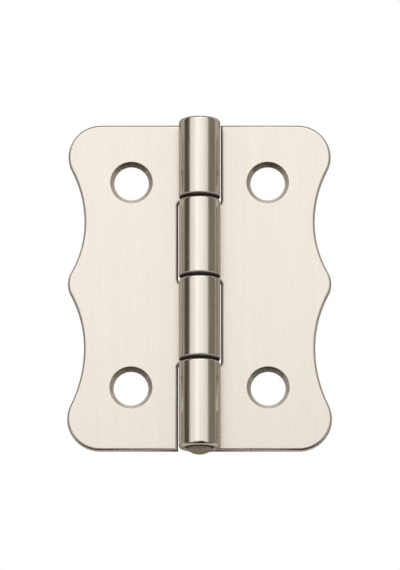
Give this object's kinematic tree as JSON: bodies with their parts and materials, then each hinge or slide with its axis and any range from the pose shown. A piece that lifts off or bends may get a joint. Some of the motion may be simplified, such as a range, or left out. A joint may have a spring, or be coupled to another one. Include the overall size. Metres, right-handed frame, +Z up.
{
  "type": "box hinge",
  "caption": "Small butt hinge with wavy-edged leaves, rolled knuckles on a straight domed pin, and countersunk screw holes.",
  "frame": {"origin": "on the pin's axis, in the middle of the whole hinge", "axes": "+Z up along the pin, +X towards the right leaf, +Y towards the surface that the leaves are screwed to; the knuckles stand proud towards -Y"},
  "size_m": [0.0396, 0.0062, 0.0518],
  "materials": {
    "brushed_nickel": "satin, brushed along the pin",
    "pin_steel": "plated, dull"
  },
  "bodies": {
    "fixed_leaf": {"left_leaf": "brushed_nickel", "hinge_pin": "pin_steel"},
    "swinging_leaf": {"right_leaf": "brushed_nickel"}
  },
  "joints": [
    {"name": "leaf_swing", "type": "hinge", "parent": "fixed_leaf", "child": "swinging_leaf", "pos_m": [0, 0, 0], "axis": [0, 0, -1], "range_deg": [-90, 180]}
  ]
}
